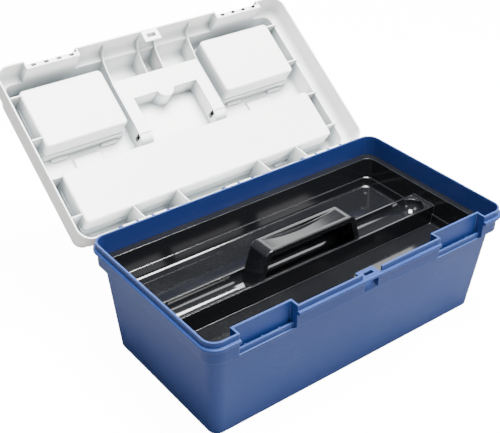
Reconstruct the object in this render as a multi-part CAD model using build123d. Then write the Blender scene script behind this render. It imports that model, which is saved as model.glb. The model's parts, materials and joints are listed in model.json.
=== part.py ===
from build123d import *
import math
import os

os.makedirs("parts", exist_ok=True)

# Toolbox: an open tub with a lift-out tray, and a hinged organiser lid that leans back on its hinge stop.
# Millimetres. +X is to the right, +Y to the back, +Z up. The origin is the centre of the tub's flat base.
# Every lid piece is drawn on the closed box and then turned open about the hinge axis.

# ---------- driving dimensions ----------
TUB_LENGTH = 400.0            # over the rim bead
TUB_WIDTH = 220.0             # over the rim bead
TUB_HEIGHT = 132.9            # to the top of the sealing lip
TUB_WALL = 3.0
TUB_FLOOR = 3.4
TUB_CORNER = 18.0             # outer corner radius at the bead
BEAD_HEIGHT = 4.2
BEAD_OVERHANG = 3.2           # bead beyond the collar
COLLAR_HEIGHT = 15.0
SHOULDER = 6.0                # 45 degree step from the collar in to the main wall
DRAFT_ENDS = 8.8              # how far each end wall leans in, from the shoulder to the floor
DRAFT_SIDES = 10.4            # the same for the long walls
BASE_ROUND = 2.2
BASE_CORNER = 11.0            # outer corner radius at the floor
LIP_HEIGHT = 6.4
LIP_THICKNESS = 2.0
LIP_SETBACK = 3.0             # from the bead's edge in to the lip's outer face
LEDGE_WIDTH = 3.2             # the ledge inside the collar that the tray hangs on
LEDGE_BELOW_LIP = 26.2

LATCH_FROM_END = 70.0         # middle of each latch, in from the end of the bead
LATCH_POCKET = 68.0           # width of the pocket in the tub
LID_POCKET = 63.6             # width of the lid's pocket, whose walls drop inside the tub's
POCKET_SETBACK = 13.6         # depth of the tub's pocket behind the bead's front edge
GUTTER_WIDTH = 3.0
GUTTER_DEPTH = 6.0
KEEPER_THICKNESS = 2.2        # the upstanding edge that the latch hooks over
KEEPER_BELOW_LIP = 23.3
KEEPER_RIB = 1.6
HASP_WIDTH = 22.0             # padlock tab
HASP_DEPTH = 16.0
HASP_THICKNESS = 2.4
HASP_HOLE = (12.0, 5.0)
HASP_HOLE_BACK = 9.2          # hole centre behind the bead's front edge
HASP_NOTCH = 15.0             # height of the notch under the tab

LID_HEIGHT = 58.0             # rim to top
LID_WALL = 1.8
LID_GAP = 0.3                 # rim above the tub's flange
LIP_CLEARANCE = 0.7           # between the lip and the lid's skirt
SKIRT_HEIGHT = 19.0
LID_SHOULDER = 9.0            # width and height of the lid's rounded shoulder
LID_CROWN = 6.0               # rounding of the top edge
LID_OPEN_ANGLE = 143.7
HINGE_BEHIND_BEAD = 4.7
HINGE_BELOW_RIM = 2.7
REAR_RIM_BEHIND_BEAD = 3.0    # the lid's rear rim stands behind the bead
KNUCKLE_PITCH = 19.5
HINGE_FROM_END = 74.75        # middle of each outer row of knuckles, in from the end of the bead
KNUCKLE_THICKNESS = 3.0
KNUCKLE_RADIUS = 4.2
BARREL_RADIUS = 4.0
HINGE_PIN_RADIUS = 1.5
RUNNING_CLEARANCE = 0.05      # radial, pin in hole
SIDE_CLEARANCE = 0.35         # between neighbouring knuckles
STOP_GAP = 0.1

WELL_WALL = 1.5
WELL_DROP = 35.0              # depth of the organiser wells below the lid's top
WELL_STEP = 1.3               # the wells widen by this much near the top
WELL_STEP_HEIGHT = 13.0
WELL_CORNER = 5.0
WELL_FROM_LID_END = 24.5
WELL_FROM_LID_FRONT = 22.9
WELL_FROM_LID_BACK = 27.0
WELL_ROW_GAP = 32.9           # between the two front wells and the long rear one
WELL_ROW_OFFSET = 2.6         # middle of that gap, behind the middle of the lid
SMALL_WELL_INNER = 71.0       # from the middle of the lid to each small well
COVER_THICKNESS = 1.6
COVER_CLEARANCE = 0.4
COVER_KNUCKLE = 12.0
COVER_PIN_RADIUS = 0.9
COVER_BARREL_RADIUS = 2.0
COVER_LUG = 4.0
COVER_AXIS_BEHIND = 2.6       # behind the cover's rear edge
COVER_TAB_RADIUS = 6.0
COVER_TAB_OUT = 3.0           # the thumb tab stands this far beyond the front edge
RIB = 1.4
FRONT_RIB_START = 6.6         # above the lid's rim, clear of the tub's lip
FRONT_RIB_PROUD = 4.0         # how far the front ribs stand off the skirt
RECESS_HALF = 17.0            # half width of each finger recess of the long cover
RECESS_REACH = 22.3
RECESS_DEPTH = 4.4
RECESS_FROM_WELL_END = 51.0

CHANNEL_HALF_OUTER = 61.0     # carry-handle channel, outside of its walls
CHANNEL_HALF_INNER = 45.0
CHANNEL_FROM_LID_FRONT = 39.3
CHANNEL_GRIP = 27.0           # front to back
CHANNEL_DROP = 25.5
CHANNEL_WALL = 1.6
FINGER_RADIUS = 11.5
PIVOT_OFFSET = 1.05           # behind the middle of the lid
PIVOT_BELOW_TOP = 12.0
PIVOT_BOSS_RADIUS = 12.4
CARRY_PIN_RADIUS = 2.9
CARRY_ARM_HEIGHT = 16.0
CARRY_CLEARANCE = 1.0
CARRY_SWING_CLEARANCE = 1.0   # extra behind the grip, for its lower edge as it swings up
CARRY_GRIP_HEIGHT = 18.0
CARRY_SKIN = 3.2              # wall left round the cored grip

LATCH_THICKNESS = 2.8
LATCH_AXIS_UP = 2.5           # above the lid's rim
LATCH_BARREL_RADIUS = 2.2
LATCH_PIN_RADIUS = 1.0
LATCH_KNUCKLES = 4
LATCH_KNUCKLE = 5.0
LATCH_SWING = 172.0

TRAY_CLEARANCE = 1.0
TRAY_FLANGE = 2.2
TRAY_WALL = 1.9
TRAY_DEPTH = 36.0             # flange top to compartment floor
TRAY_DRAFT = 3.2
TRAY_STEP_HEIGHT = 11.0       # step line above the compartment floor
TRAY_STEP = 1.0
TRAY_REST_GAP = 0.1
DIVIDER_TOP_BELOW_FLANGE = 13.0
DIVIDER_THICKNESS = 3.4
TROUGH_RADIUS = 14.6
TROUGH_Y = -1.8

TRAY_HANDLE_BELOW_LIP = 5.4
TRAY_HANDLE_HALF = 60.0       # half length at the grip
TRAY_HANDLE_FLARE = 15.0      # the legs spread by this much at each foot
TRAY_HANDLE_WIDTH = 27.6
TRAY_HANDLE_LEG = 6.5
TRAY_HANDLE_GRIP = 6.2
TRAY_HANDLE_CORNER = 9.0
TRAY_HANDLE_DISH = 4.2
TRAY_HANDLE_RIM = 4.2

# ---------- heights and half sizes worked out from them ----------
BEAD_X = TUB_LENGTH / 2
BEAD_Y = TUB_WIDTH / 2
FLANGE_Z = TUB_HEIGHT - LIP_HEIGHT
BEAD_Z = FLANGE_Z - BEAD_HEIGHT
COLLAR_Z = BEAD_Z - COLLAR_HEIGHT
WALL_TOP_Z = COLLAR_Z - SHOULDER
COLLAR_X = BEAD_X - BEAD_OVERHANG
COLLAR_Y = BEAD_Y - BEAD_OVERHANG
WALL_X = COLLAR_X - SHOULDER
WALL_Y = COLLAR_Y - SHOULDER
BASE_X = WALL_X - DRAFT_ENDS
BASE_Y = WALL_Y - DRAFT_SIDES
LIP_X = BEAD_X - LIP_SETBACK
LIP_Y = BEAD_Y - LIP_SETBACK
INNER_X = LIP_X - LIP_THICKNESS
INNER_Y = LIP_Y - LIP_THICKNESS
LEDGE_Z = TUB_HEIGHT - LEDGE_BELOW_LIP

RIM_Z = FLANGE_Z + LID_GAP
LID_TOP_Z = RIM_Z + LID_HEIGHT
LID_INNER_X = LIP_X + LIP_CLEARANCE
LID_X = LID_INNER_X + LID_WALL
LID_FRONT = -(LIP_Y + LIP_CLEARANCE + LID_WALL)
LID_BACK = BEAD_Y + REAR_RIM_BEHIND_BEAD
LID_MID_Y = (LID_FRONT + LID_BACK) / 2
LID_HALF_Y = (LID_BACK - LID_FRONT) / 2
HINGE_Y = BEAD_Y + HINGE_BEHIND_BEAD
HINGE_Z = RIM_Z - HINGE_BELOW_RIM
HINGE_LINE = Axis((0, HINGE_Y, HINGE_Z), (1, 0, 0))

POCKET_WALL_Y = -(BEAD_Y - POCKET_SETBACK)
LID_POCKET_Y = LID_FRONT + LID_SHOULDER
LATCH_AXIS_Y = LID_POCKET_Y - LATCH_BARREL_RADIUS - 0.4
LATCH_AXIS_Z = RIM_Z + LATCH_AXIS_UP
LATCH_CENTRE = BEAD_X - LATCH_FROM_END
KEEPER_TOP = TUB_HEIGHT - KEEPER_BELOW_LIP
GUTTER_Z = KEEPER_TOP - GUTTER_DEPTH
HINGE_OUTER_CENTRE = BEAD_X - HINGE_FROM_END
WELL_END_X = LID_X - WELL_FROM_LID_END
ROW_SPLIT = LID_MID_Y + WELL_ROW_OFFSET
SMALL_WELL_Y = (LID_FRONT + WELL_FROM_LID_FRONT, ROW_SPLIT - WELL_ROW_GAP / 2)
LONG_WELL_Y = (ROW_SPLIT + WELL_ROW_GAP / 2, LID_BACK - WELL_FROM_LID_BACK)
RECESS_X = WELL_END_X - RECESS_FROM_WELL_END
CHANNEL_FRONT = LID_FRONT + CHANNEL_FROM_LID_FRONT
CHANNEL_GRIP_BACK = CHANNEL_FRONT + CHANNEL_GRIP
PIVOT_Y = LID_MID_Y + PIVOT_OFFSET
PIVOT_Z = LID_TOP_Z - PIVOT_BELOW_TOP
TRAY_HANDLE_TOP = TUB_HEIGHT - TRAY_HANDLE_BELOW_LIP
SIDES = (-1, 1)


# ---------- shape helpers ----------
def skin(levels, mid_y=0.0):
    """A solid through rounded rectangles: each level is (z, half x, half y, corner radius)."""
    faces = [(Pos(0, mid_y, z) * RectangleRounded(2 * hx, 2 * hy, r)).face() for z, hx, hy, r in levels]
    return loft(faces, ruled=True)


def block(x, y, z):
    """A box from three (low, high) pairs."""
    centre = Pos(sum(x) / 2, sum(y) / 2, sum(z) / 2)
    return centre * Box(x[1] - x[0], y[1] - y[0], z[1] - z[0])


def slab_x(points, x0, x1):
    """A (y, z) outline, carried along X."""
    return extrude(Plane.YZ.offset(x0) * make_face(Polyline(*points, close=True)), amount=x1 - x0)


def rod_x(y, z, radius, x0, x1):
    """A round bar along X."""
    return extrude(Plane.YZ.offset(x0) * Pos(y, z) * Circle(radius), amount=x1 - x0)


def about(middle, width):
    """The (low, high) pair of a width centred on a middle."""
    return middle - width / 2, middle + width / 2


def mirrored(x_range, side):
    """The (low, high) pair of a range on the right-hand or left-hand side."""
    return tuple(sorted((side * x_range[0], side * x_range[1])))


def opened(shape):
    """A closed-lid shape turned back to the open stop."""
    return shape.rotate(HINGE_LINE, -LID_OPEN_ANGLE)


def save(node, shape):
    export_step(shape, f"parts/{node}.step")


# ---------- hinge layout ----------
def knuckle_rows():
    """Centres of the tub's knuckles, as one list for each of the three pins."""
    outer = [HINGE_OUTER_CENTRE + (i - 1.5) * KNUCKLE_PITCH for i in range(4)]
    return {
        "left": sorted(-x for x in outer),
        "middle": [-KNUCKLE_PITCH, 0.0, KNUCKLE_PITCH],
        "right": outer,
    }


# ---------- tub ----------
def tub_outside():
    body = skin([
        (0, BASE_X, BASE_Y, BASE_CORNER),
        (WALL_TOP_Z, WALL_X, WALL_Y, TUB_CORNER - 3),
        (COLLAR_Z, COLLAR_X, COLLAR_Y, TUB_CORNER - 1),
        (BEAD_Z, COLLAR_X, COLLAR_Y, TUB_CORNER - 1),
    ])
    body = fillet(body.faces().sort_by(Axis.Z)[0].edges(), BASE_ROUND)
    bead = skin([(BEAD_Z, BEAD_X, BEAD_Y, TUB_CORNER), (FLANGE_Z, BEAD_X, BEAD_Y, TUB_CORNER)])
    bead = fillet(bead.edges().filter_by(lambda e: abs(e.center().Z - FLANGE_Z) < 0.01
                                         or abs(e.center().Z - BEAD_Z) < 0.01), 1.2)
    lip = skin([(FLANGE_Z - 1, LIP_X, LIP_Y, TUB_CORNER - 3), (TUB_HEIGHT, LIP_X, LIP_Y, TUB_CORNER - 3)])
    return body + bead + lip


def tub_cavity():
    lean = (WALL_TOP_Z - TUB_FLOOR) / WALL_TOP_Z
    floor_x = WALL_X - TUB_WALL - DRAFT_ENDS * lean
    floor_y = WALL_Y - TUB_WALL - DRAFT_SIDES * lean
    bin_space = skin([
        (TUB_FLOOR, floor_x - 3, floor_y - 3, BASE_CORNER - 5),
        (TUB_FLOOR + 3, floor_x, floor_y, BASE_CORNER - 3),
        (WALL_TOP_Z, WALL_X - TUB_WALL, WALL_Y - TUB_WALL, TUB_CORNER - 6),
        (LEDGE_Z, INNER_X - LEDGE_WIDTH, INNER_Y - LEDGE_WIDTH, TUB_CORNER - 7),
    ])
    mouth = skin([
        (LEDGE_Z, INNER_X, INNER_Y, TUB_CORNER - 5),
        (TUB_HEIGHT + 1, INNER_X, INNER_Y, TUB_CORNER - 5),
    ])
    return bin_space + mouth


def latch_pocket(side, grow, low):
    """The space that a latch closes into, grown by a wall thickness where the cavity goes round it."""
    x0 = side * LATCH_CENTRE - LATCH_POCKET / 2 - grow
    x1 = side * LATCH_CENTRE + LATCH_POCKET / 2 + grow
    return block((x0, x1), (-BEAD_Y - 5, POCKET_WALL_Y + grow), (low - grow, TUB_HEIGHT + 5))


def tub():
    keeper_back = POCKET_WALL_Y - GUTTER_WIDTH
    keeper_front = keeper_back - KEEPER_THICKNESS
    outside = tub_outside()
    cavity = tub_cavity()
    for side in SIDES:
        outside -= latch_pocket(side, 0, GUTTER_Z)
        cavity -= latch_pocket(side, LIP_THICKNESS, GUTTER_Z)
        x0 = side * LATCH_CENTRE - LATCH_POCKET / 2
        x1 = side * LATCH_CENTRE + LATCH_POCKET / 2
        wall_front = -WALL_Y - 0.2
        outside += slab_x([
            (wall_front, WALL_TOP_Z - 3),
            (wall_front + 3, WALL_TOP_Z - 3),
            (keeper_back, GUTTER_Z),
            (keeper_back, KEEPER_TOP),
            (keeper_front, KEEPER_TOP),
            (keeper_front, COLLAR_Z),
        ], x0, x1)
        for place in (-0.3, 0.0, 0.3):
            rib_x = side * LATCH_CENTRE + place * LATCH_POCKET
            outside += block(about(rib_x, KEEPER_RIB), (keeper_back - 0.5, POCKET_WALL_Y + 0.5),
                             (GUTTER_Z - 0.5, KEEPER_TOP - 2.2))
    # padlock tab: the lip stops short of it, and the collar is notched below it
    half = HASP_WIDTH / 2
    tab_back = -BEAD_Y + HASP_DEPTH
    outside -= block((-half - 2, half + 2), (-BEAD_Y - 1, tab_back + 1), (FLANGE_Z, TUB_HEIGHT + 1))
    cavity -= block((-half, half), (-BEAD_Y, tab_back), (FLANGE_Z - HASP_THICKNESS, FLANGE_Z + 0.01))
    notch = (-half + 1.5, half - 1.5)
    notch_top = FLANGE_Z - HASP_THICKNESS
    notch_low = notch_top - HASP_NOTCH
    notch_back = -BEAD_Y + HASP_HOLE_BACK + 4.5
    cavity -= slab_x([(-BEAD_Y, notch_low - 3), (notch_back + LIP_THICKNESS, notch_top - 4),
                      (notch_back + LIP_THICKNESS, FLANGE_Z), (-BEAD_Y, FLANGE_Z)], -half, half)
    shell = outside - cavity
    shell -= slab_x([(-BEAD_Y - 1, notch_low), (-COLLAR_Y, notch_low), (notch_back, notch_top - 3),
                     (notch_back, notch_top), (-BEAD_Y - 1, notch_top)], notch[0], notch[1])
    hole_y = -BEAD_Y + HASP_HOLE_BACK
    shell -= block(about(0, HASP_HOLE[0]), about(hole_y, HASP_HOLE[1]), (FLANGE_Z - 8, FLANGE_Z + 1))
    # rear knuckles
    for row in knuckle_rows().values():
        for x in row:
            x0 = x - KNUCKLE_THICKNESS / 2
            x1 = x + KNUCKLE_THICKNESS / 2
            ear = rod_x(HINGE_Y, HINGE_Z, KNUCKLE_RADIUS, x0, x1)
            ear += slab_x([(COLLAR_Y - 0.5, HINGE_Z - 8), (COLLAR_Y - 0.5, FLANGE_Z - 0.5),
                           (HINGE_Y, FLANGE_Z - 0.5),
                           (HINGE_Y + 1.5, HINGE_Z - KNUCKLE_RADIUS + 0.3)], x0, x1)
            shell += ear
        shell -= rod_x(HINGE_Y, HINGE_Z, HINGE_PIN_RADIUS + RUNNING_CLEARANCE, row[0] - 5, row[-1] + 5)
    return shell


def hinge_pins():
    for name, row in knuckle_rows().items():
        x0 = row[0] - KNUCKLE_THICKNESS / 2 - 0.8
        x1 = row[-1] + KNUCKLE_THICKNESS / 2 + 0.8
        pin = rod_x(HINGE_Y, HINGE_Z, HINGE_PIN_RADIUS, x0, x1)
        save(f"hinge_pin_{name}", chamfer(pin.edges(), 0.3))


# ---------- lid ----------
def lid_levels(inset):
    """The lid's outer profile, or the same drawn in by a wall thickness for its inside."""
    corner = TUB_CORNER - 1 - inset
    steps = 4
    levels = [(RIM_Z - (1.0 if inset else 0.0), 0.0)]
    centre_z = RIM_Z + SKIRT_HEIGHT - inset * 0.2
    for i in range(steps + 1):
        turn = math.radians(90 * i / steps)
        levels.append((centre_z + LID_SHOULDER * math.sin(turn), LID_SHOULDER * (1 - math.cos(turn))))
    crown_z = LID_TOP_Z - inset - LID_CROWN
    base = LID_SHOULDER + 2.0
    for i in range(steps + 1):
        turn = math.radians(90 * i / steps)
        levels.append((crown_z + LID_CROWN * math.sin(turn), base + LID_CROWN * (1 - math.cos(turn))))
    return [(z, LID_X - inset - step, LID_HALF_Y - inset - step, max(corner - step * 0.5, 5.0))
            for z, step in levels]


def well(x_range, y_range, top, drop, grow, corner):
    """A tapered box below the lid's top, wider by a step near its mouth."""
    cx = sum(x_range) / 2
    cy = sum(y_range) / 2
    hx = (x_range[1] - x_range[0]) / 2 - grow
    hy = (y_range[1] - y_range[0]) / 2 - grow
    low = top - drop
    step_z = top - WELL_STEP_HEIGHT
    wide_x = hx + 0.4 + WELL_STEP
    wide_y = hy + 0.4 + WELL_STEP
    lower = [(low, hx - 1.5, hy - 1.5), (low + 1.5, hx, hy), (step_z, hx + 0.4, hy + 0.4)]
    upper = [(step_z, wide_x, wide_y), (top, wide_x + 0.1, wide_y + 0.1)]
    solid = Part()
    for levels in (lower, upper):
        solid += skin([(z, a, b, corner) for z, a, b in levels])
    return Pos(cx, cy, 0) * solid


def organiser_wells():
    """The three wells: name to (x range, y range)."""
    return {
        "left": (mirrored((SMALL_WELL_INNER, WELL_END_X), -1), SMALL_WELL_Y),
        "right": ((SMALL_WELL_INNER, WELL_END_X), SMALL_WELL_Y),
        "long": ((-WELL_END_X, WELL_END_X), LONG_WELL_Y),
    }


def channel(grow, drop, end_radius):
    """The U-shaped channel of the carry handle; grow draws its walls in for the space inside."""
    low = LID_TOP_Z - drop
    outer = (-CHANNEL_HALF_OUTER + grow, CHANNEL_HALF_OUTER - grow)
    solid = block(outer, (CHANNEL_FRONT + grow, CHANNEL_GRIP_BACK - grow), (low, LID_TOP_Z))
    for side in SIDES:
        arm = mirrored((CHANNEL_HALF_INNER + grow, CHANNEL_HALF_OUTER - grow), side)
        solid += block(arm, (CHANNEL_GRIP_BACK - grow - 1, PIVOT_Y), (low, LID_TOP_Z))
        solid += rod_x(PIVOT_Y, PIVOT_Z, end_radius, arm[0], arm[1])
        solid += block(arm, (PIVOT_Y - 1, PIVOT_Y + end_radius), (PIVOT_Z, LID_TOP_Z))
    above = block(outer, (CHANNEL_FRONT, PIVOT_Y + end_radius), (LID_TOP_Z, LID_TOP_Z + end_radius))
    return solid - above


def finger_bulge(radius):
    low = LID_TOP_Z - CHANNEL_DROP
    return Pos(0, CHANNEL_GRIP_BACK - 2, (low + LID_TOP_Z) / 2) * Cylinder(radius, CHANNEL_DROP)


def front_rib(x, back_y, back_drop):
    """A rib from the front skirt to the channel; its free edge follows the lid's shoulder in an S."""
    wall_y = LID_FRONT + LID_WALL
    shoulder_z = RIM_Z + SKIRT_HEIGHT
    end = (back_y, LID_TOP_Z - back_drop)
    foot_z = RIM_Z + FRONT_RIB_START
    proud_y = wall_y + FRONT_RIB_PROUD
    edge = Spline((wall_y - 0.5, foot_z), (proud_y, foot_z + 3.5), (proud_y, shoulder_z - 4.0),
                  (wall_y + LID_SHOULDER + 1.0, shoulder_z + 5.0), (end[0] - 9.0, end[1] - 2.5), end)
    top = LID_TOP_Z - LID_WALL + 0.5
    sides = Polyline(end, (back_y, top), (wall_y - 0.5, top), (wall_y - 0.5, foot_z))
    return extrude(Plane.YZ.offset(x - RIB / 2) * make_face([edge, sides]), amount=RIB)


def finger_recess(side, grow):
    """A recess in front of the long cover; grow draws its walls in for the space inside."""
    x = side * RECESS_X
    front = LONG_WELL_Y[0] - RECESS_REACH
    well_wall = LONG_WELL_Y[0] - WELL_STEP - 0.5
    back = well_wall - 0.25 if grow else well_wall + 1.0
    return block((x - RECESS_HALF + grow, x + RECESS_HALF - grow), (front + grow, back),
                 (LID_TOP_Z - RECESS_DEPTH + grow, LID_TOP_Z + (1 if grow else 0)))


def lid_ribs():
    ribs = Part()
    well_low = LID_TOP_Z - WELL_DROP
    top = LID_TOP_Z - LID_WALL + 0.5
    outer_x = LID_X - LID_SHOULDER - 0.5
    for side in SIDES:
        for y_range in (SMALL_WELL_Y, LONG_WELL_Y):
            for share in (0.07, 0.82):
                y = y_range[0] + share * (y_range[1] - y_range[0])
                x = mirrored((WELL_END_X - 1, outer_x), side)
                ribs += block(x, (y - RIB / 2, y + RIB / 2), (well_low + 0.4, top))
        for x in (WELL_END_X / 3, WELL_END_X * 2 / 3):
            ribs += slab_x([
                (LONG_WELL_Y[1] - 1, well_low + 0.4),
                (LID_BACK - 1, RIM_Z + 8.5),
                (LID_BACK - 1, RIM_Z + 20),
                (LID_BACK - LID_SHOULDER - 1, top),
                (LONG_WELL_Y[1] - 1, top),
            ], side * x - RIB / 2, side * x + RIB / 2)
        ribs += front_rib(side * 12.0, CHANNEL_FRONT + 1, CHANNEL_DROP)
        ribs += front_rib(side * (CHANNEL_HALF_OUTER - RIB / 2), CHANNEL_FRONT + 1, CHANNEL_DROP)
    return ribs


def lid_pocket(side, grow):
    x0 = side * LATCH_CENTRE - LID_POCKET / 2 - grow
    x1 = side * LATCH_CENTRE + LID_POCKET / 2 + grow
    return block((x0, x1), (LID_FRONT - 5, LID_POCKET_Y + grow),
                 (RIM_Z - 5, RIM_Z + SKIRT_HEIGHT + LID_SHOULDER + 1))


def latch_knuckle_centres(side):
    """Centres of the latch's own knuckles, which sit in gaps in the lid's barrel."""
    pitch = LID_POCKET / LATCH_KNUCKLES
    first = side * LATCH_CENTRE - pitch * (LATCH_KNUCKLES - 1) / 2
    return [first + i * pitch for i in range(LATCH_KNUCKLES)]


def lid_latch_barrel(side):
    x0 = side * LATCH_CENTRE - LID_POCKET / 2 - 0.5
    x1 = side * LATCH_CENTRE + LID_POCKET / 2 + 0.5
    barrel = rod_x(LATCH_AXIS_Y, LATCH_AXIS_Z, LATCH_BARREL_RADIUS, x0, x1)
    barrel += block((x0, x1), (LATCH_AXIS_Y, LID_POCKET_Y + 0.5), (RIM_Z, RIM_Z + 2 * LATCH_BARREL_RADIUS))
    for x in latch_knuckle_centres(side):
        gap = LATCH_KNUCKLE / 2 + SIDE_CLEARANCE
        reach = LATCH_BARREL_RADIUS + 0.4
        barrel -= block((x - gap, x + gap), (LATCH_AXIS_Y - reach, LID_POCKET_Y),
                        (LATCH_AXIS_Z - reach, LATCH_AXIS_Z + reach))
    return barrel


def hinge_barrels():
    """The lid's barrels between the tub's knuckles; a heel on each meets the bead at the open stop."""
    heel = HINGE_BEHIND_BEAD - STOP_GAP
    turn = math.radians(180 + LID_OPEN_ANGLE)
    face = (math.cos(turn), math.sin(turn))
    along = (-face[1], face[0])
    foot = (HINGE_Y + heel * face[0], HINGE_Z + heel * face[1])
    tip = (foot[0] + 3.2 * along[0], foot[1] + 3.2 * along[1])
    inside_y = LID_BACK - LID_WALL + 0.5
    barrels = Part()
    for row in knuckle_rows().values():
        for a, b in zip(row[:-1], row[1:]):
            x0 = a + KNUCKLE_THICKNESS / 2 + SIDE_CLEARANCE
            x1 = b - KNUCKLE_THICKNESS / 2 - SIDE_CLEARANCE
            barrels += rod_x(HINGE_Y, HINGE_Z, BARREL_RADIUS, x0, x1)
            barrels += slab_x([(HINGE_Y, HINGE_Z), foot, tip, (HINGE_Y + 2.6, RIM_Z + 1.5),
                               (LID_BACK - 0.5, RIM_Z + 6),
                               (inside_y, RIM_Z + 6), (inside_y, RIM_Z)], x0, x1)
    return barrels


def cover_outline(x_range, y_range, grow):
    half_step = WELL_STEP + 0.5 + grow
    x = (x_range[0] - half_step, x_range[1] + half_step)
    y = (y_range[0] - half_step, y_range[1] + half_step)
    return x, y


def cover_tabs(x_range):
    """Centres of a cover's thumb tabs: two over the recesses of the long one, one on a small one."""
    middle = sum(x_range) / 2
    return [-RECESS_X, RECESS_X] if middle == 0 else [middle]


def cover_hinge(x_range, y_range):
    """Where a cover turns: its axis in y and z, and the centres of its two knuckles."""
    x, y = cover_outline(x_range, y_range, 0)
    third = (x[1] - x[0]) / 5
    return y[1] + COVER_AXIS_BEHIND, LID_TOP_Z - 0.2, (x[0] + third, x[1] - third)


def lid():
    outside = skin(lid_levels(0), LID_MID_Y)
    inside = skin(lid_levels(LID_WALL), LID_MID_Y)
    for side in SIDES:
        outside -= lid_pocket(side, 0)
        inside -= lid_pocket(side, LID_WALL)
    shell = outside - inside
    extra = lid_ribs() & outside
    for x_range, y_range in organiser_wells().values():
        extra += well(x_range, y_range, LID_TOP_Z, WELL_DROP, 0, WELL_CORNER)
    extra += channel(0, CHANNEL_DROP, PIVOT_BOSS_RADIUS)
    extra += finger_bulge(FINGER_RADIUS)
    for side in SIDES:
        extra += lid_latch_barrel(side)
    half = HASP_WIDTH / 2
    tab = block((-half, half), (LID_FRONT + 0.5, LID_FRONT + HASP_DEPTH), (RIM_Z, RIM_Z + HASP_THICKNESS))
    for x_range, y_range in organiser_wells().values():
        x, y = cover_outline(x_range, y_range, COVER_CLEARANCE)
        for tab_x in cover_tabs(x_range):
            pad = Pos(tab_x, y[0] + COVER_TAB_RADIUS - COVER_TAB_OUT, LID_TOP_Z - RECESS_DEPTH / 2)
            extra += (pad * Cylinder(COVER_TAB_RADIUS + 2.6, RECESS_DEPTH)) & outside
    for side in SIDES:
        extra += finger_recess(side, 0)
    shell = shell + extra + tab + hinge_barrels()
    hole_y = -BEAD_Y + HASP_HOLE_BACK
    shell -= block(about(0, HASP_HOLE[0]), about(hole_y, HASP_HOLE[1]), (RIM_Z - 1, RIM_Z + 8))
    # wells, covers' seats and hinge lugs
    for x_range, y_range in organiser_wells().values():
        shell -= well(x_range, y_range, LID_TOP_Z + 0.01, WELL_DROP - WELL_WALL, WELL_WALL,
                      WELL_CORNER - WELL_WALL)
        x, y = cover_outline(x_range, y_range, COVER_CLEARANCE)
        seat = RectangleRounded(x[1] - x[0], y[1] - y[0], WELL_CORNER)
        seat_z = LID_TOP_Z - COVER_THICKNESS - 0.1
        shell -= extrude(Pos(sum(x) / 2, sum(y) / 2, seat_z) * seat, amount=COVER_THICKNESS + 1)
        axis_y, axis_z, knuckles = cover_hinge(x_range, y_range)
        for cx in knuckles:
            reach = COVER_KNUCKLE / 2 + SIDE_CLEARANCE
            shell += block(about(cx, 2 * (reach + COVER_LUG)), (axis_y - 1.5, axis_y + 2.4),
                           (LID_TOP_Z - 5, axis_z + COVER_BARREL_RADIUS))
            room = COVER_BARREL_RADIUS + 0.5
            shell -= block(about(cx, 2 * reach), (axis_y - 4, axis_y + room), (axis_z - room, axis_z + 5))
            shell -= rod_x(axis_y, axis_z, COVER_PIN_RADIUS + RUNNING_CLEARANCE,
                           cx - reach - 2.6, cx + reach + 2.6)
        # thumb notch in front of the cover
        notch_y = y[0] + COVER_TAB_RADIUS - COVER_TAB_OUT
        for tab_x in cover_tabs(x_range):
            notch = Cylinder(COVER_TAB_RADIUS + 1.0, 2 * COVER_THICKNESS + 0.4)
            shell -= Pos(tab_x, notch_y, LID_TOP_Z) * notch
    for side in SIDES:
        shell -= finger_recess(side, CHANNEL_WALL)
    # carry-handle channel
    shell -= channel(CHANNEL_WALL, CHANNEL_DROP - CHANNEL_WALL, PIVOT_BOSS_RADIUS - CHANNEL_WALL)
    floor_z = LID_TOP_Z - CHANNEL_DROP + CHANNEL_WALL
    shell -= finger_bulge(FINGER_RADIUS - CHANNEL_WALL) & block((-20, 20), (-60, 0), (floor_z, LID_TOP_Z))
    pin_hole = CARRY_PIN_RADIUS + RUNNING_CLEARANCE
    for side in SIDES:
        arm = mirrored((CHANNEL_HALF_INNER - 1, CHANNEL_HALF_OUTER + 1), side)
        shell -= rod_x(PIVOT_Y, PIVOT_Z, pin_hole, arm[0], arm[1])
        shell -= block(arm, about(PIVOT_Y, 2 * pin_hole), (floor_z + 1.0, PIVOT_Z))
    # clearance round the tub's knuckles, and the pins' holes
    for row in knuckle_rows().values():
        for x in row:
            gap = KNUCKLE_THICKNESS / 2 + SIDE_CLEARANCE
            shell -= rod_x(HINGE_Y, HINGE_Z, KNUCKLE_RADIUS + 0.5, x - gap, x + gap)
            shell -= block((x - gap, x + gap), (BEAD_Y, HINGE_Y + 6),
                           (HINGE_Z - 2, HINGE_Z + KNUCKLE_RADIUS + 0.5))
        shell -= rod_x(HINGE_Y, HINGE_Z, HINGE_PIN_RADIUS + RUNNING_CLEARANCE, row[0] - 5, row[-1] + 5)
    # pins of the latches
    for side in SIDES:
        x0 = side * LATCH_CENTRE - LID_POCKET / 2
        x1 = side * LATCH_CENTRE + LID_POCKET / 2
        shell -= rod_x(LATCH_AXIS_Y, LATCH_AXIS_Z, LATCH_PIN_RADIUS + RUNNING_CLEARANCE, x0, x1)
    return shell


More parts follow.
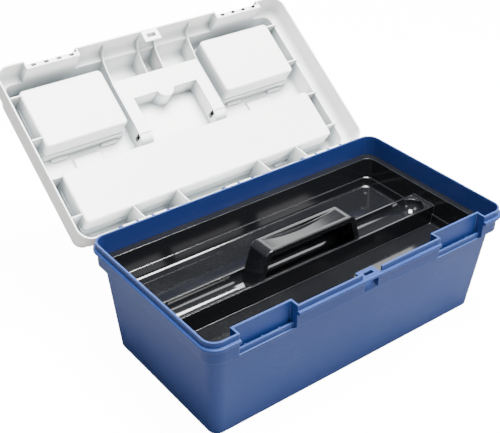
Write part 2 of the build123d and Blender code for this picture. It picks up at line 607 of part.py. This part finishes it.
def latch(side):
    """A latch hanging closed: knuckles, plate, and a tooth that drops into the tub's gutter."""
    half = LID_POCKET / 2 - 1.0
    centre = side * LATCH_CENTRE
    plate_front = LATCH_AXIS_Y - LATCH_THICKNESS * 0.57
    plate_back = plate_front + LATCH_THICKNESS
    plate_top = LATCH_AXIS_Z - LATCH_BARREL_RADIUS - 0.6
    plate_low = KEEPER_TOP + 0.8
    tooth_front = POCKET_WALL_Y - GUTTER_WIDTH + 0.6
    tooth_back = POCKET_WALL_Y - 0.5
    tooth_low = KEEPER_TOP - GUTTER_DEPTH + 3.9
    lip_back = POCKET_WALL_Y - GUTTER_WIDTH - KEEPER_THICKNESS - 0.6
    lip_low = plate_low - 3.5
    outline = [
        (plate_front, plate_top), (plate_back, plate_top), (plate_back, plate_low + 3),
        (tooth_back, plate_low + 3), (tooth_back, tooth_low), (tooth_front, tooth_low),
        (tooth_front, plate_low), (lip_back, plate_low), (lip_back, lip_low),
        (plate_front - 1.4, lip_low), (plate_front - 1.4, lip_low + 1.5), (plate_front, plate_low + 3),
    ]
    body = slab_x(outline, centre - half, centre + half)
    for x in latch_knuckle_centres(side):
        x0 = x - LATCH_KNUCKLE / 2
        x1 = x + LATCH_KNUCKLE / 2
        body += rod_x(LATCH_AXIS_Y, LATCH_AXIS_Z, LATCH_BARREL_RADIUS, x0, x1)
        body += block((x0, x1), (plate_front, plate_back), (plate_top - 1, LATCH_AXIS_Z))
        body -= rod_x(LATCH_AXIS_Y, LATCH_AXIS_Z, LATCH_PIN_RADIUS + RUNNING_CLEARANCE, x0 - 1, x1 + 1)
    return body


def latch_axis():
    return Axis((0, LATCH_AXIS_Y, LATCH_AXIS_Z), (1, 0, 0))


def latches():
    for side, name in ((-1, "left"), (1, "right")):
        folded = latch(side).rotate(latch_axis(), -LATCH_SWING)
        save(f"latch_{name}", opened(folded))
        x0, x1 = about(side * LATCH_CENTRE, LID_POCKET - 1.2)
        pin = rod_x(LATCH_AXIS_Y, LATCH_AXIS_Z, LATCH_PIN_RADIUS, x0, x1)
        save(f"latch_pin_{name}", opened(pin))


def covers():
    for name, (x_range, y_range) in organiser_wells().items():
        x, y = cover_outline(x_range, y_range, 0)
        low = LID_TOP_Z - COVER_THICKNESS
        outline = RectangleRounded(x[1] - x[0], y[1] - y[0], WELL_CORNER - 0.4)
        plate = extrude(Pos(sum(x) / 2, sum(y) / 2, low) * outline, amount=COVER_THICKNESS)
        # a locating rim that drops just inside the well
        rim_x = (x_range[1] - x_range[0]) / 2 + WELL_STEP + 0.4 - WELL_WALL - 0.5
        rim_y = (y_range[1] - y_range[0]) / 2 + WELL_STEP + 0.4 - WELL_WALL - 0.5
        rim = (RectangleRounded(2 * rim_x, 2 * rim_y, 3.0)
               - RectangleRounded(2 * rim_x - 3, 2 * rim_y - 3, 2.0))
        plate += extrude(Pos(sum(x) / 2, sum(y) / 2, low - 2.5) * rim, amount=3.0)
        axis_y, axis_z, knuckles = cover_hinge(x_range, y_range)
        for cx in knuckles:
            x0 = cx - COVER_KNUCKLE / 2
            x1 = cx + COVER_KNUCKLE / 2
            plate += rod_x(axis_y, axis_z, COVER_BARREL_RADIUS, x0, x1)
            plate += block((x0, x1), (y[1] - 1, axis_y), (low + 0.2, LID_TOP_Z))
            plate += rod_x(axis_y, axis_z, COVER_PIN_RADIUS, x0 - 2.4, x1 + 2.4)
        # thumb tabs
        tab_y = y[0] + COVER_TAB_RADIUS - COVER_TAB_OUT
        for tab_x in cover_tabs(x_range):
            tab = Cylinder(COVER_TAB_RADIUS, COVER_THICKNESS)
            plate += Pos(tab_x, tab_y, low + COVER_THICKNESS / 2) * tab
        save(f"cover_{name}", opened(plate))


def carry_handle():
    gap = CHANNEL_WALL + CARRY_CLEARANCE
    arm_in = CHANNEL_HALF_INNER + gap
    arm_out = CHANNEL_HALF_OUTER - gap
    half = CARRY_ARM_HEIGHT / 2
    grip_front = CHANNEL_FRONT + gap
    grip_back = CHANNEL_GRIP_BACK - gap - CARRY_SWING_CLEARANCE
    grip_low = PIVOT_Z - half
    grip = block((-arm_out, arm_out), (grip_front, grip_back), (grip_low, grip_low + CARRY_GRIP_HEIGHT))
    grip = fillet(grip.edges().filter_by(Axis.X), 5.0)
    handle = grip
    for side in SIDES:
        x = mirrored((arm_in, arm_out), side)
        handle += block(x, (grip_back - 6, PIVOT_Y), (PIVOT_Z - half + 0.6, PIVOT_Z + half - 0.6))
        handle += rod_x(PIVOT_Y, PIVOT_Z, half - 0.6, x[0], x[1])
        pin = mirrored((CHANNEL_HALF_INNER + 0.2, CHANNEL_HALF_OUTER - 0.2), side)
        handle += rod_x(PIVOT_Y, PIVOT_Z, CARRY_PIN_RADIUS, pin[0], pin[1])
    # the grip is cored out from its hidden side, with ribs left across it
    core_top = grip_low + CARRY_GRIP_HEIGHT - CARRY_SKIN
    bays = 6
    bay = (2 * arm_in - CARRY_SKIN) / bays
    for i in range(bays):
        x0 = -arm_in + CARRY_SKIN + i * bay
        handle -= block((x0, x0 + bay - CARRY_SKIN / 2), (grip_front + CARRY_SKIN, grip_back - CARRY_SKIN),
                        (grip_low - 1, core_top))
    save("carry_handle", opened(handle))


# ---------- tray ----------
TRAY_Z = LEDGE_Z + TRAY_REST_GAP + TRAY_FLANGE
TRAY_OUT_X = INNER_X - TRAY_CLEARANCE
TRAY_OUT_Y = INNER_Y - TRAY_CLEARANCE
TRAY_BACK = INNER_Y - LEDGE_WIDTH - TRAY_CLEARANCE - TRAY_WALL - 4.0
TRAY_FRONT = POCKET_WALL_Y + LIP_THICKNESS + TRAY_CLEARANCE + TRAY_WALL
TRAY_HALF_X = WALL_X - TUB_WALL - TRAY_CLEARANCE - TRAY_WALL + 0.8
TRAY_MID_Y = (TRAY_BACK + TRAY_FRONT) / 2
TRAY_HALF_Y = (TRAY_BACK - TRAY_FRONT) / 2
TRAY_FLOOR_Z = TRAY_Z - TRAY_DEPTH
DIVIDER_Z = TRAY_Z - DIVIDER_TOP_BELOW_FLANGE
DIVIDER_OUT = TROUGH_RADIUS + DIVIDER_THICKNESS - 1.0


def tray_pan(grow, low, high):
    """The tray's basin; grow makes the same shape one wall bigger."""
    step_z = TRAY_FLOOR_Z + TRAY_STEP_HEIGHT
    share = (TRAY_Z - step_z) / TRAY_DEPTH
    foot_x = TRAY_HALF_X - TRAY_DRAFT - TRAY_STEP + grow
    foot_y = TRAY_HALF_Y - TRAY_DRAFT - TRAY_STEP + grow
    step_x = TRAY_HALF_X - TRAY_DRAFT * share + grow
    step_y = TRAY_HALF_Y - TRAY_DRAFT * share + grow
    return skin([
        (low, foot_x - 2.4, foot_y - 2.4, 7 + grow),
        (low + 0.8, foot_x - 0.8, foot_y - 0.8, 8 + grow),
        (low + 2.6, foot_x, foot_y, 8 + grow),
        (step_z, step_x - TRAY_STEP, step_y - TRAY_STEP, 8.5 + grow),
        (step_z + 0.6, step_x, step_y, 9 + grow),
        (high, TRAY_HALF_X + grow, TRAY_HALF_Y + grow, 10 + grow),
    ], TRAY_MID_Y)


def tray():
    flange = skin([
        (TRAY_Z - TRAY_FLANGE, TRAY_OUT_X, TRAY_OUT_Y, TUB_CORNER - 6),
        (TRAY_Z, TRAY_OUT_X, TRAY_OUT_Y, TUB_CORNER - 6),
    ])
    for side in SIDES:
        flange -= latch_pocket(side, LIP_THICKNESS + TRAY_CLEARANCE, KEEPER_TOP - 20)
    half = HASP_WIDTH / 2 + TRAY_CLEARANCE
    flange -= block((-half, half), (-BEAD_Y, -BEAD_Y + HASP_DEPTH + TRAY_CLEARANCE + 2),
                    (TRAY_Z - 10, TRAY_Z + 10))
    outer = tray_pan(TRAY_WALL, TRAY_FLOOR_Z - TRAY_WALL, TRAY_Z - 0.2)
    basin = tray_pan(0, TRAY_FLOOR_Z, TRAY_Z + 0.01)
    long_half = TRAY_HALF_X - 1.0
    spine = block((-long_half, long_half), (TROUGH_Y - DIVIDER_OUT, TROUGH_Y + DIVIDER_OUT),
                  (TRAY_FLOOR_Z - TRAY_WALL, DIVIDER_Z))
    spine = chamfer(spine.edges().filter_by(Axis.X).group_by(Axis.Z)[-1], 0.4)
    trough = rod_x(TROUGH_Y, DIVIDER_Z - 1.5, TROUGH_RADIUS, -long_half + 20, long_half - 20)
    for side in SIDES:
        trough += Pos(side * (long_half - 20), TROUGH_Y, DIVIDER_Z - 1.5) * Sphere(TROUGH_RADIUS)
    trough += block((-long_half + 20 - TROUGH_RADIUS, long_half - 20 + TROUGH_RADIUS),
                    (TROUGH_Y - TROUGH_RADIUS, TROUGH_Y + TROUGH_RADIUS), (DIVIDER_Z - 1.5, DIVIDER_Z + 1))
    under = block((-long_half + 8, long_half - 8), about(TROUGH_Y, 2 * (DIVIDER_OUT - TRAY_WALL)),
                  (TRAY_FLOOR_Z - TRAY_WALL - 1, DIVIDER_Z - 1.5 - TROUGH_RADIUS - TRAY_WALL))
    body = (flange + outer) - basin + (spine & outer)
    body = body - trough - under
    return body


def tray_handle():
    """The arch that lifts the tray: flared legs standing in the trough and a wide dished grip."""
    seat_z = DIVIDER_Z - 1.5
    low = seat_z - TROUGH_RADIUS
    foot = TRAY_HANDLE_HALF + TRAY_HANDLE_FLARE
    top = TRAY_HANDLE_TOP
    lean = TRAY_HANDLE_FLARE / (top - low)
    grip_low = top - TRAY_HANDLE_GRIP
    inner_top = TRAY_HANDLE_HALF - TRAY_HANDLE_LEG + lean * TRAY_HANDLE_GRIP
    inner_low = foot - TRAY_HANDLE_LEG
    outline = Polyline((-foot, low), (-TRAY_HANDLE_HALF, top), (TRAY_HANDLE_HALF, top), (foot, low),
                       (inner_low, low), (inner_top, grip_low), (-inner_top, grip_low), (-inner_low, low),
                       close=True)
    half = TRAY_HANDLE_WIDTH / 2
    arch = extrude(Plane.XZ.offset(-TROUGH_Y - half) * make_face(outline), amount=TRAY_HANDLE_WIDTH)
    across = arch.edges().filter_by(Axis.Y)
    arch = fillet(across.filter_by(lambda e: e.center().Z > top - 1), TRAY_HANDLE_CORNER)
    inner = arch.edges().filter_by(Axis.Y).filter_by(lambda e: abs(e.center().Z - grip_low) < 0.5)
    arch = fillet(inner, 4.0)
    arch = fillet(arch.faces().sort_by(Axis.Z)[-1].edges(), 1.0)
    # dish in the grip: deepest in the middle and running out towards the ends
    reach = TRAY_HANDLE_HALF - 9
    radius = (reach ** 2 + TRAY_HANDLE_DISH ** 2) / (2 * TRAY_HANDLE_DISH)
    dish = Pos(0, TROUGH_Y, top + radius - TRAY_HANDLE_DISH) * Rot(90, 0, 0) * Cylinder(
        radius, TRAY_HANDLE_WIDTH - 2 * TRAY_HANDLE_RIM)
    arch -= dish
    seat = rod_x(TROUGH_Y, seat_z, TROUGH_RADIUS - 0.1, -foot - 5, foot + 5)
    seat += block((-foot - 5, foot + 5), (TROUGH_Y - half, TROUGH_Y + half), (seat_z, top + 5))
    return arch & seat


save("tub", tub())
hinge_pins()
save("lid", opened(lid()))
latches()
covers()
carry_handle()
save("tray", tray())
save("tray_handle", tray_handle())
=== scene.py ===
import json
import math

import bpy
from mathutils import Euler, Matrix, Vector

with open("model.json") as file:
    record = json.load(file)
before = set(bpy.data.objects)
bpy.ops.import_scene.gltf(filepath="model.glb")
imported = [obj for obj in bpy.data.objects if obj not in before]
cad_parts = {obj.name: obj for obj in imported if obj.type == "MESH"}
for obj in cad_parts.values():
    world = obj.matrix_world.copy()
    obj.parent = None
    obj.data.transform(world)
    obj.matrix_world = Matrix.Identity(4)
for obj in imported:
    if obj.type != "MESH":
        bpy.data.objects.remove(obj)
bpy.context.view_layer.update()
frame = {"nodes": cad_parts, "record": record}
nodes = frame["nodes"]


# ---------- shader building ----------
def node(tree, kind, inputs=None, **settings):
    """One shader node with its settings; an input is a constant or another node's socket."""
    made = tree.nodes.new("ShaderNode" + kind)
    for name, value in settings.items():
        setattr(made, name, value)
    for name, value in (inputs or {}).items():
        socket = made.inputs[name]
        if isinstance(value, bpy.types.NodeSocket):
            tree.links.new(value, socket)
        else:
            socket.default_value = value
    return made


def maths(tree, operation, a, b=None, clamp=False):
    inputs = {0: a}
    if b is not None:
        inputs[1] = b
    return node(tree, "Math", inputs, operation=operation, use_clamp=clamp).outputs[0]


def blend(tree, share, a, b):
    """Colour a where share is 0, colour b where it is 1."""
    mix = node(tree, "Mix", {"Factor": share, 6: a, 7: b}, data_type="RGBA")
    return mix.outputs[2]


def blend_value(tree, share, a, b):
    mix = node(tree, "Mix", {"Factor": share, 2: a, 3: b}, data_type="FLOAT")
    return mix.outputs[0]


def ramp(tree, value, low, high, out_low=0.0, out_high=1.0):
    """A soft step: out_low below low, out_high above high."""
    inputs = {"Value": value, "From Min": low, "From Max": high, "To Min": out_low, "To Max": out_high}
    return node(tree, "MapRange", inputs, interpolation_type="SMOOTHSTEP").outputs["Result"]


def new_group(name, inputs, outputs):
    """An empty node group with float inputs and named outputs: (tree, input node, output node)."""
    tree = bpy.data.node_groups.new(name, "ShaderNodeTree")
    for label, default in inputs.items():
        socket = tree.interface.new_socket(name=label, in_out="INPUT", socket_type="NodeSocketFloat")
        socket.default_value = default
    for label, kind in outputs.items():
        tree.interface.new_socket(name=label, in_out="OUTPUT", socket_type="NodeSocket" + kind)
    return tree, tree.nodes.new("NodeGroupInput"), tree.nodes.new("NodeGroupOutput")


def placed(tree, group, **values):
    """A node group placed in a material with its own values."""
    made = tree.nodes.new("ShaderNodeGroup")
    made.node_tree = group
    for name, value in values.items():
        socket = made.inputs[name.replace("_", " ")]
        if isinstance(value, bpy.types.NodeSocket):
            tree.links.new(value, socket)
        else:
            socket.default_value = value
    return made.outputs


def make_rounded_edges():
    """Small edge radii, and a mask of where they are, used to paint edge highlights (and painted edge
    shade on the clear cover).
    """
    tree, given, out = new_group("rounded_edges", {"Radius": 0.0008, "Gain": 6.0},
                                 {"Normal": "Vector", "Edge": "Float"})
    round_over = node(tree, "Bevel", {"Radius": given.outputs["Radius"]}, samples=6)
    flat = node(tree, "NewGeometry")
    agree = node(tree, "VectorMath", {0: round_over.outputs[0], 1: flat.outputs["Normal"]},
                 operation="DOT_PRODUCT")
    turned = maths(tree, "SUBTRACT", 1.0, agree.outputs["Value"])
    tree.links.new(maths(tree, "MULTIPLY", turned, given.outputs["Gain"], clamp=True), out.inputs["Edge"])
    tree.links.new(round_over.outputs[0], out.inputs["Normal"])
    return tree


def make_moulded_grain():
    """The fine spark-eroded texture of a mould: a height and a speckle."""
    tree, given, out = new_group("moulded_grain", {"Scale": 900.0, "Broad Scale": 60.0},
                                 {"Height": "Float", "Speckle": "Float", "Broad": "Float"})
    place = node(tree, "TexCoord").outputs["Object"]
    fine = node(tree, "TexNoise", {"Vector": place, "Scale": given.outputs["Scale"], "Detail": 2.0})
    pits = node(tree, "TexVoronoi", {"Vector": place, "Scale": given.outputs["Scale"]})
    broad = node(tree, "TexNoise", {"Vector": place, "Scale": given.outputs["Broad Scale"], "Detail": 4.0})
    height = maths(tree, "ADD", fine.outputs[0], maths(tree, "MULTIPLY", pits.outputs["Distance"], 0.5))
    tree.links.new(height, out.inputs["Height"])
    tree.links.new(fine.outputs[0], out.inputs["Speckle"])
    tree.links.new(broad.outputs[0], out.inputs["Broad"])
    return tree


def make_handling_marks():
    """Fine straight scuffs from handling, thinned out by a patchy mask."""
    tree, given, out = new_group("handling_marks", {"Scale": 40.0, "Amount": 0.3}, {"Mark": "Float"})
    place = node(tree, "TexCoord").outputs["Object"]
    stretched = node(tree, "Mapping", {"Vector": place, "Scale": (1.0, 9.0, 5.0),
                                       "Rotation": (0.2, 0.5, 0.7)})
    lines = node(tree, "TexNoise", {"Vector": stretched.outputs[0], "Scale": given.outputs["Scale"],
                                    "Detail": 6.0, "Roughness": 0.75})
    thin = maths(tree, "ABSOLUTE", maths(tree, "SUBTRACT", lines.outputs[0], 0.5))
    line = ramp(tree, thin, 0.0, 0.012, 1.0, 0.0)
    patch = node(tree, "TexNoise", {"Vector": place, "Scale": 14.0, "Detail": 2.0})
    where = ramp(tree, patch.outputs[0], 0.52, 0.68)
    mark = maths(tree, "MULTIPLY", maths(tree, "MULTIPLY", line, where), given.outputs["Amount"])
    tree.links.new(mark, out.inputs["Mark"])
    return tree


def make_settled_dust():
    """A little dust on what faces up."""
    tree, given, out = new_group("settled_dust", {"Amount": 0.1}, {"Dust": "Float"})
    up = node(tree, "SeparateXYZ", {0: node(tree, "NewGeometry").outputs["Normal"]}).outputs["Z"]
    place = node(tree, "TexCoord").outputs["Object"]
    specks = node(tree, "TexNoise", {"Vector": place, "Scale": 260.0, "Detail": 3.0})
    drift = node(tree, "TexNoise", {"Vector": place, "Scale": 18.0, "Detail": 3.0})
    loose = ramp(tree, maths(tree, "MULTIPLY", specks.outputs[0], drift.outputs[0]), 0.22, 0.42)
    facing_up = ramp(tree, up, 0.3, 1.0)
    dust = maths(tree, "MULTIPLY", maths(tree, "MULTIPLY", facing_up, loose), given.outputs["Amount"])
    tree.links.new(dust, out.inputs["Dust"])
    return tree


def make_crease_shade():
    """A mask of inside corners, where a moulding looks shaded."""
    tree, given, out = new_group("crease_shade", {"Reach": 0.012, "Amount": 0.5}, {"Crease": "Float"})
    open_share = node(tree, "AmbientOcclusion", {"Distance": given.outputs["Reach"]}, samples=4)
    shut = ramp(tree, open_share.outputs["AO"], 0.35, 1.0, 1.0, 0.0)
    tree.links.new(maths(tree, "MULTIPLY", shut, given.outputs["Amount"]), out.inputs["Crease"])
    return tree


PLASTIC_IOR = 1.49
STYRENE_IOR = 1.55

ROUNDED_EDGES = make_rounded_edges()
MOULDED_GRAIN = make_moulded_grain()
HANDLING_MARKS = make_handling_marks()
SETTLED_DUST = make_settled_dust()
CREASE_SHADE = make_crease_shade()


def new_material(name):
    material = bpy.data.materials.new(name)
    material.use_nodes = True
    tree = material.node_tree
    return material, tree, tree.nodes["Principled BSDF"]


def bumped(tree, height, strength, distance, normal):
    inputs = {"Height": height, "Strength": strength, "Distance": distance, "Normal": normal}
    return node(tree, "Bump", inputs).outputs[0]


# ---------- materials ----------
def tub_blue():
    """Blue polypropylene: finely textured outside, smooth inside, with painted shade darkening the inside.
    """
    material, tree, shader = new_material("tub_blue")
    place = node(tree, "TexCoord").outputs["Object"]
    facing = node(tree, "TexCoord").outputs["Normal"]
    axis = node(tree, "VectorMath", {0: place, 1: (0.6, 1.0, 0.0)}, operation="MULTIPLY")
    towards = node(tree, "VectorMath", {0: axis.outputs[0], 1: facing}, operation="DOT_PRODUCT")
    outward = towards.outputs["Value"]
    inside = ramp(tree, outward, -0.03, 0.0, 1.0, 0.0)
    edges = placed(tree, ROUNDED_EDGES, Radius=0.0009, Gain=5.0)
    grain = placed(tree, MOULDED_GRAIN, Scale=1400.0, Broad_Scale=9.0)
    marks = placed(tree, HANDLING_MARKS, Scale=30.0, Amount=0.35)
    dust = placed(tree, SETTLED_DUST, Amount=0.05)
    outer = blend(tree, grain["Broad"], (0.0042, 0.0205, 0.118, 1), (0.0055, 0.0255, 0.138, 1))
    # painted shade: the inside of the tub gets a darker navy copy of the blue, standing in for the shade
    # inside the box
    inner_painted_shade = blend(tree, grain["Broad"], (0.0065, 0.0135, 0.080, 1), (0.0085, 0.0170, 0.096, 1))
    colour = blend(tree, inside, outer, inner_painted_shade)
    colour = blend(tree, maths(tree, "MULTIPLY", grain["Speckle"], 0.16), colour, (0.03, 0.07, 0.20, 1))
    # painted highlight: lighter blue along the rounded edges
    colour = blend(tree, maths(tree, "MULTIPLY", edges["Edge"], 0.6), colour, (0.11, 0.20, 0.46, 1))
    colour = blend(tree, marks["Mark"], colour, (0.07, 0.11, 0.22, 1))
    colour = blend(tree, dust["Dust"], colour, (0.20, 0.22, 0.26, 1))
    tree.links.new(colour, shader.inputs["Base Color"])
    rough = blend_value(tree, inside, 0.46, 0.26)
    rough = maths(tree, "ADD", rough, maths(tree, "MULTIPLY", grain["Speckle"], 0.10))
    tree.links.new(rough, shader.inputs["Roughness"])
    depth = blend_value(tree, inside, 1.0, 0.15)
    height = maths(tree, "MULTIPLY", grain["Height"], depth)
    tree.links.new(bumped(tree, height, 0.30, 0.0002, edges["Normal"]), shader.inputs["Normal"])
    shader.inputs["IOR"].default_value = PLASTIC_IOR
    shader.inputs["Specular IOR Level"].default_value = 0.28
    return material


def lid_grey():
    """Light grey polypropylene with a satin face, painted highlights on its edges and painted shade in its
    creases.
    """
    material, tree, shader = new_material("lid_grey")
    edges = placed(tree, ROUNDED_EDGES, Radius=0.0009, Gain=5.0)
    grain = placed(tree, MOULDED_GRAIN, Scale=1600.0, Broad_Scale=7.0)
    marks = placed(tree, HANDLING_MARKS, Scale=26.0, Amount=0.10)
    colour = blend(tree, grain["Broad"], (0.80, 0.81, 0.80, 1), (0.85, 0.855, 0.835, 1))
    colour = blend(tree, maths(tree, "MULTIPLY", grain["Speckle"], 0.10), colour, (0.66, 0.68, 0.69, 1))
    # painted highlight: lighter grey along the rounded edges
    colour = blend(tree, maths(tree, "MULTIPLY", edges["Edge"], 0.5), colour, (0.90, 0.91, 0.91, 1))
    colour = blend(tree, marks["Mark"], colour, (0.50, 0.51, 0.52, 1))
    # painted shade: darker bluish grey in inside corners, where shade falls
    crease_shade = placed(tree, CREASE_SHADE, Reach=0.016, Amount=0.95)
    colour = blend(tree, crease_shade["Crease"], colour, (0.34, 0.38, 0.40, 1))
    tree.links.new(colour, shader.inputs["Base Color"])
    rough = maths(tree, "ADD", 0.38, maths(tree, "MULTIPLY", grain["Speckle"], 0.12))
    tree.links.new(rough, shader.inputs["Roughness"])
    tree.links.new(bumped(tree, grain["Height"], 0.12, 0.0002, edges["Normal"]), shader.inputs["Normal"])
    shader.inputs["IOR"].default_value = PLASTIC_IOR
    shader.inputs["Subsurface Weight"].default_value = 0.08
    shader.inputs["Subsurface Scale"].default_value = 0.004
    return material


def glossy_black(name, roughness, grain_depth, dust_amount):
    """Black styrene with a moulded gloss, and painted highlights along its edges."""
    material, tree, shader = new_material(name)
    edges = placed(tree, ROUNDED_EDGES, Radius=0.0011, Gain=4.0)
    grain = placed(tree, MOULDED_GRAIN, Scale=420.0, Broad_Scale=16.0)
    marks = placed(tree, HANDLING_MARKS, Scale=34.0, Amount=0.12)
    dust = placed(tree, SETTLED_DUST, Amount=dust_amount)
    colour = blend(tree, grain["Broad"], (0.0040, 0.0042, 0.0052, 1), (0.0065, 0.0070, 0.0080, 1))
    # painted highlight: lighter grey along the rounded edges
    colour = blend(tree, maths(tree, "MULTIPLY", edges["Edge"], 0.5), colour, (0.07, 0.075, 0.08, 1))
    colour = blend(tree, marks["Mark"], colour, (0.05, 0.05, 0.055, 1))
    colour = blend(tree, dust["Dust"], colour, (0.30, 0.30, 0.29, 1))
    tree.links.new(colour, shader.inputs["Base Color"])
    rough = maths(tree, "ADD", roughness, maths(tree, "MULTIPLY", grain["Broad"], 0.06))
    rough = maths(tree, "ADD", rough, maths(tree, "MULTIPLY", dust["Dust"], 0.6))
    rough = maths(tree, "ADD", rough, maths(tree, "MULTIPLY", marks["Mark"], 0.3))
    tree.links.new(rough, shader.inputs["Roughness"])
    relief = bumped(tree, grain["Height"], grain_depth, 0.0002, edges["Normal"])
    tree.links.new(relief, shader.inputs["Normal"])
    shader.inputs["IOR"].default_value = STYRENE_IOR
    return material


def clear_cover():
    """Clear styrene: faint moulding waves, a few scuffs, and painted shade along its edges."""
    material, tree, shader = new_material("clear_cover")
    edges = placed(tree, ROUNDED_EDGES, Radius=0.0006, Gain=4.0)
    grain = placed(tree, MOULDED_GRAIN, Scale=150.0, Broad_Scale=12.0)
    marks = placed(tree, HANDLING_MARKS, Scale=40.0, Amount=0.6)
    # painted shade: greyer tint along the rounded edges
    colour = blend(tree, edges["Edge"], (0.93, 0.95, 0.96, 1), (0.80, 0.84, 0.87, 1))
    tree.links.new(colour, shader.inputs["Base Color"])
    rough = maths(tree, "ADD", 0.04, maths(tree, "MULTIPLY", marks["Mark"], 0.4))
    tree.links.new(rough, shader.inputs["Roughness"])
    tree.links.new(bumped(tree, grain["Broad"], 0.05, 0.0003, edges["Normal"]), shader.inputs["Normal"])
    shader.inputs["Transmission Weight"].default_value = 0.94
    shader.inputs["IOR"].default_value = PLASTIC_IOR
    return material


def drawn_steel():
    """Drawn steel wire: fine lines along its length and a little tarnish."""
    material, tree, shader = new_material("drawn_steel")
    place = node(tree, "TexCoord").outputs["Object"]
    along = node(tree, "Mapping", {"Vector": place, "Scale": (0.02, 1.0, 1.0)})
    lines = node(tree, "TexNoise", {"Vector": along.outputs[0], "Scale": 6000.0, "Detail": 2.0})
    tarnish = node(tree, "TexNoise", {"Vector": place, "Scale": 220.0, "Detail": 4.0})
    edges = placed(tree, ROUNDED_EDGES, Radius=0.0002, Gain=4.0)
    tarnished = ramp(tree, tarnish.outputs[0], 0.45, 0.7)
    colour = blend(tree, tarnished, (0.56, 0.57, 0.58, 1), (0.34, 0.33, 0.31, 1))
    tree.links.new(colour, shader.inputs["Base Color"])
    rough = maths(tree, "ADD", 0.22, maths(tree, "MULTIPLY", lines.outputs[0], 0.22))
    tree.links.new(rough, shader.inputs["Roughness"])
    tree.links.new(bumped(tree, lines.outputs[0], 0.15, 0.0001, edges["Normal"]), shader.inputs["Normal"])
    shader.inputs["Metallic"].default_value = 1.0
    return material


FINISHES = {
    "tub_plastic": tub_blue(),
    "lid_plastic": lid_grey(),
    "tray_plastic": glossy_black("tray_black", 0.08, 0.008, 0.010),
    "handle_plastic": glossy_black("handle_black", 0.10, 0.008, 0.004),
    "latch_plastic": glossy_black("latch_black", 0.20, 0.04, 0.01),
    "clear_plastic": clear_cover(),
    "pin_steel": drawn_steel(),
}

for part in frame["record"]["subparts"]:
    mesh = nodes[part["node"]].data
    mesh.materials.clear()
    mesh.materials.append(FINISHES[part["material_slot"]])


# ---------- studio ----------
FLOOR_GLOW = 14.0             # lifts the floor and the background to white for the camera only
FLOOR_SIZE = 30.0
FLOOR_DROP = 0.0005           # below the tub's base, so the two never share a plane
WORLD_LIGHT = 0.34
WORLD_COLOUR = (0.93, 0.965, 1.0, 1.0)
WARM_WHITE = (1.0, 0.995, 0.98)


def floor():
    material, tree, shader = new_material("pale_floor")
    place = node(tree, "TexCoord").outputs["Object"]
    mottle = node(tree, "TexNoise", {"Vector": place, "Scale": 3.0, "Detail": 2.0})
    colour = blend(tree, mottle.outputs[0], (0.36, 0.36, 0.36, 1), (0.40, 0.40, 0.40, 1))
    tree.links.new(colour, shader.inputs["Base Color"])
    shader.inputs["Roughness"].default_value = 0.9
    shader.inputs["Specular IOR Level"].default_value = 0.1
    seen = node(tree, "LightPath").outputs["Is Camera Ray"]
    glow = node(tree, "Emission", {"Strength": maths(tree, "MULTIPLY", seen, FLOOR_GLOW)})
    both = node(tree, "AddShader", {0: shader.outputs[0], 1: glow.outputs[0]})
    tree.links.new(both.outputs[0], tree.nodes["Material Output"].inputs["Surface"])
    bpy.ops.mesh.primitive_plane_add(size=FLOOR_SIZE, location=(0, 0, -FLOOR_DROP))
    plane = bpy.context.object
    plane.name = "floor"
    plane.data.materials.append(material)


def softbox(name, place, aim, size, power, colour=(1.0, 1.0, 1.0)):
    light = bpy.data.lights.new(name, "AREA")
    light.shape = "RECTANGLE"
    light.size, light.size_y = size
    light.energy = power
    light.color = colour
    lamp = bpy.data.objects.new(name, light)
    bpy.context.scene.collection.objects.link(lamp)
    lamp.location = place
    lamp.rotation_euler = (Vector(aim) - Vector(place)).to_track_quat("-Z", "Y").to_euler()


def studio():
    world = bpy.data.worlds.new("studio")
    bpy.context.scene.world = world
    world.use_nodes = True
    tree = world.node_tree
    background = tree.nodes["Background"]
    background.inputs["Color"].default_value = WORLD_COLOUR
    seen = node(tree, "LightPath").outputs["Is Camera Ray"]
    tree.links.new(blend_value(tree, seen, WORLD_LIGHT, FLOOR_GLOW), background.inputs["Strength"])
    softbox("overhead", (0.20, -0.12, 1.6), (0, 0.1, 0.1), (1.0, 0.7), 165.0, WARM_WHITE)
    softbox("back_right", (1.0, 1.3, 1.1), (0, 0, 0.1), (1.2, 0.5), 8.0)
    softbox("front_right", (0.9, -1.8, 0.9), (0, 0, 0.1), (1.4, 0.9), 30.0)
    softbox("left_high", (-1.3, 0.3, 1.7), (-0.1, 0.2, 0.1), (0.9, 0.9), 15.0)


CAMERA_PLACE = (-0.5776, -0.6563, 0.6969)
CAMERA_AIM = (-0.0716, 0.0, 0.1681)
CAMERA_ROLL = 0.66            # degrees
CAMERA_LENS = 70.6            # millimetres
SENSOR_WIDTH = 36.0


def camera():
    lens = bpy.data.cameras.new("camera")
    lens.lens = CAMERA_LENS
    lens.sensor_width = SENSOR_WIDTH
    lens.clip_start = 0.01
    viewer = bpy.data.objects.new("camera", lens)
    bpy.context.scene.collection.objects.link(viewer)
    viewer.location = CAMERA_PLACE
    look = (Vector(CAMERA_AIM) - Vector(CAMERA_PLACE)).to_track_quat("-Z", "Y")
    roll = Euler((0, 0, math.radians(CAMERA_ROLL))).to_quaternion()
    viewer.rotation_euler = (look @ roll).to_euler()
    bpy.context.scene.camera = viewer


floor()
studio()
camera()
